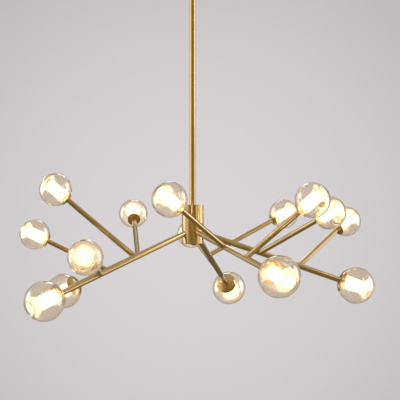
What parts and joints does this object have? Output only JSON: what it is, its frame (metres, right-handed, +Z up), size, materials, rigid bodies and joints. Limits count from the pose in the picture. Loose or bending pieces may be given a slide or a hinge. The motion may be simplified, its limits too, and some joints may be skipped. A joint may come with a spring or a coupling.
{
  "type": "branch chandelier",
  "caption": "Rod-hung brass chandelier: a hub with branching arms, each tube ending in a cup with a tinted double-walled glass globe whose mouth folds in round the lamp.",
  "frame": {"origin": "on the ceiling plane at the rod's axis, between the two ceiling slots of the bracket", "axes": "+Z up into the ceiling, +X along the line of the two ceiling slots; one arm points 9 degrees from +X"},
  "size_m": [1.1728, 1.1614, 1.1971],
  "materials": {
    "satin_brass": "satin, fine turned and drawn lines",
    "zinc_steel": "zinc plated",
    "amber_glass": "clear champagne tint outside, frosted inner tube",
    "lamp": "frosted capsule, lit",
    "steatite": "unglazed white ceramic",
    "white_cable": "smooth sheath",
    "clear_cable": "clear insulation over tinned copper"
  },
  "bodies": {
    "ceiling": {"ceiling_bracket": "zinc_steel", "bracket_screws": "zinc_steel", "canopy": "satin_brass", "canopy_nuts": "satin_brass", "terminal_block": "steatite", "ceiling_lead": "white_cable"},
    "swivel": {"swivel_yoke": "satin_brass", "swivel_nut": "zinc_steel", "swivel_pins": "zinc_steel"},
    "stem": {"swivel_head": "satin_brass", "rod": "satin_brass", "rod_nipple": "satin_brass", "rod_nut": "zinc_steel", "rod_lead": "white_cable", "hub_body": "satin_brass", "hub_cover": "satin_brass", "hub_terminal": "steatite", "hub_leads": "clear_cable", "arm_nuts": "zinc_steel", "stop_pins": "zinc_steel"},
    "right_arm_set": {"right_arm": "satin_brass", "right_branches": "satin_brass", "right_cups": "satin_brass", "right_lampholders": "steatite", "right_leads": "clear_cable", "right_bulbs": "lamp", "right_end_globe": "amber_glass", "right_branch_globes": "amber_glass"},
    "back_arm_set": {"back_arm": "satin_brass", "back_branches": "satin_brass", "back_cups": "satin_brass", "back_lampholders": "steatite", "back_leads": "clear_cable", "back_bulbs": "lamp", "back_end_globe": "amber_glass", "back_branch_globes": "amber_glass"},
    "left_arm_set": {"left_arm": "satin_brass", "left_branches": "satin_brass", "left_cups": "satin_brass", "left_lampholders": "steatite", "left_leads": "clear_cable", "left_bulbs": "lamp", "left_end_globe": "amber_glass", "left_branch_globes": "amber_glass"},
    "front_left_arm_set": {"front_left_arm": "satin_brass", "front_left_branches": "satin_brass", "front_left_cups": "satin_brass", "front_left_lampholders": "steatite", "front_left_leads": "clear_cable", "front_left_bulbs": "lamp", "front_left_end_globe": "amber_glass", "front_left_branch_globes": "amber_glass"},
    "front_right_arm_set": {"front_right_arm": "satin_brass", "front_right_branches": "satin_brass", "front_right_cups": "satin_brass", "front_right_lampholders": "steatite", "front_right_leads": "clear_cable", "front_right_bulbs": "lamp", "front_right_end_globe": "amber_glass", "front_right_branch_globes": "amber_glass"}
  },
  "joints": [
    {"name": "swivel_turn", "type": "hinge", "parent": "ceiling", "child": "swivel", "pos_m": [0, 0, -0.016], "axis": [0, 0, 1], "range_deg": [-170, 170]},
    {"name": "swivel_tilt", "type": "hinge", "parent": "swivel", "child": "stem", "pos_m": [0, 0, -0.062], "axis": [0, 1, 0], "range_deg": [-30, 30]},
    {"name": "right_roll", "type": "hinge", "parent": "stem", "child": "right_arm_set", "pos_m": [0, 0, -0.919], "axis": [0.9366, 0.1484, -0.3173], "range_deg": [-35, 15]},
    {"name": "back_roll", "type": "hinge", "parent": "stem", "child": "back_arm_set", "pos_m": [0, 0, -0.919], "axis": [0.2266, 0.9088, -0.3502], "range_deg": [-27, 23]},
    {"name": "left_roll", "type": "hinge", "parent": "stem", "child": "left_arm_set", "pos_m": [0, 0, -0.919], "axis": [-0.783, 0.5085, -0.3584], "range_deg": [-25, 25]},
    {"name": "front_left_roll", "type": "hinge", "parent": "stem", "child": "front_left_arm_set", "pos_m": [0, 0, -0.919], "axis": [-0.7568, -0.5299, -0.3827], "range_deg": [-3, 47]},
    {"name": "front_right_roll", "type": "hinge", "parent": "stem", "child": "front_right_arm_set", "pos_m": [0, 0, -0.919], "axis": [0.4244, -0.8702, -0.2504], "range_deg": [-35, 15]}
  ]
}
